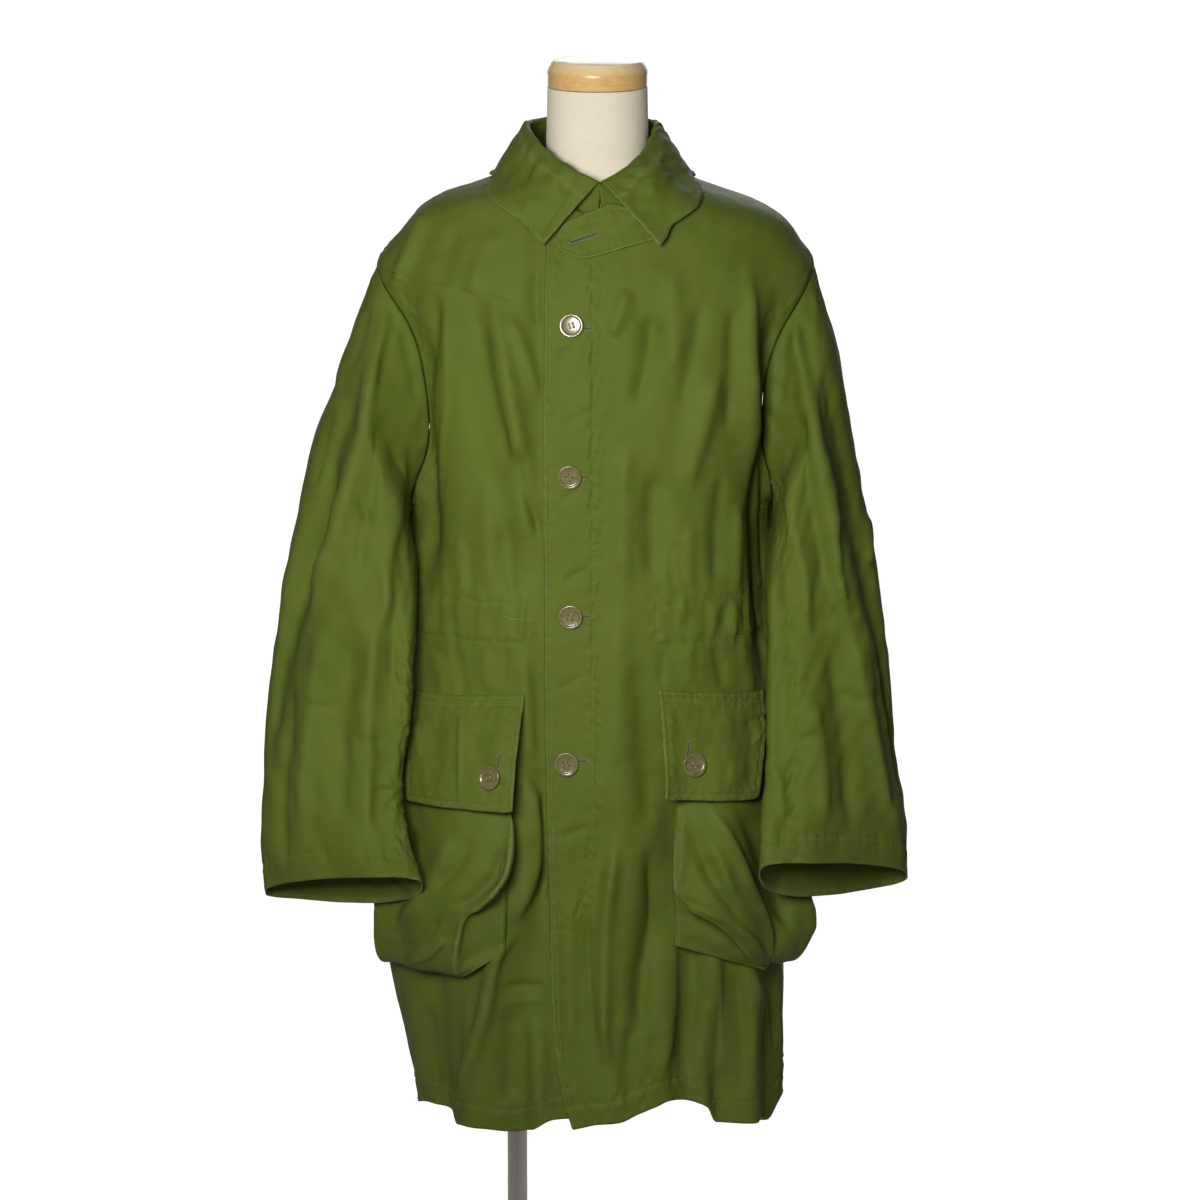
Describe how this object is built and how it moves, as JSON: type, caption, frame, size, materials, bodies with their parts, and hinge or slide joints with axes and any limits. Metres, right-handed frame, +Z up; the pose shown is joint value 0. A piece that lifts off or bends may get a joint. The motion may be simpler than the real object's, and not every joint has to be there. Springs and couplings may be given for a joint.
{
  "type": "field coat on dress form",
  "caption": "Loose thigh-length field coat of olive cotton, button front, turned-down collar, wide sleeves and sagging flap pockets, on a limbless dress form with a pole and round base.",
  "frame": {"origin": "middle of the base's underside, straight below the coat's neck", "axes": "+Z up, -Y the way the coat's front faces, +X towards the wearer's left"},
  "size_m": [0.6629, 0.3876, 1.515],
  "materials": {
    "olive_cotton": "close cotton weave, slightly faded, soft sheen",
    "button": "moulded, glossy",
    "linen": "plain weave stretched over padding",
    "wood": "clear varnish",
    "chrome": "bright plated"
  },
  "bodies": {
    "root": {"front_left": "olive_cotton", "front_right": "olive_cotton", "back": "olive_cotton", "sleeve_left": "olive_cotton", "sleeve_right": "olive_cotton", "under_sleeve_left": "olive_cotton", "under_sleeve_right": "olive_cotton", "collar": "olive_cotton", "throat_tab": "olive_cotton", "pocket_left": "olive_cotton", "pocket_right": "olive_cotton", "flap_left": "olive_cotton", "flap_right": "olive_cotton", "button_1": "button", "button_2": "button", "button_3": "button", "button_4": "button", "flap_button_left": "button", "flap_button_right": "button", "torso": "linen", "neck_cap": "wood", "pole": "chrome", "pole_flange": "chrome", "base": "chrome"}
  },
  "joints": []
}
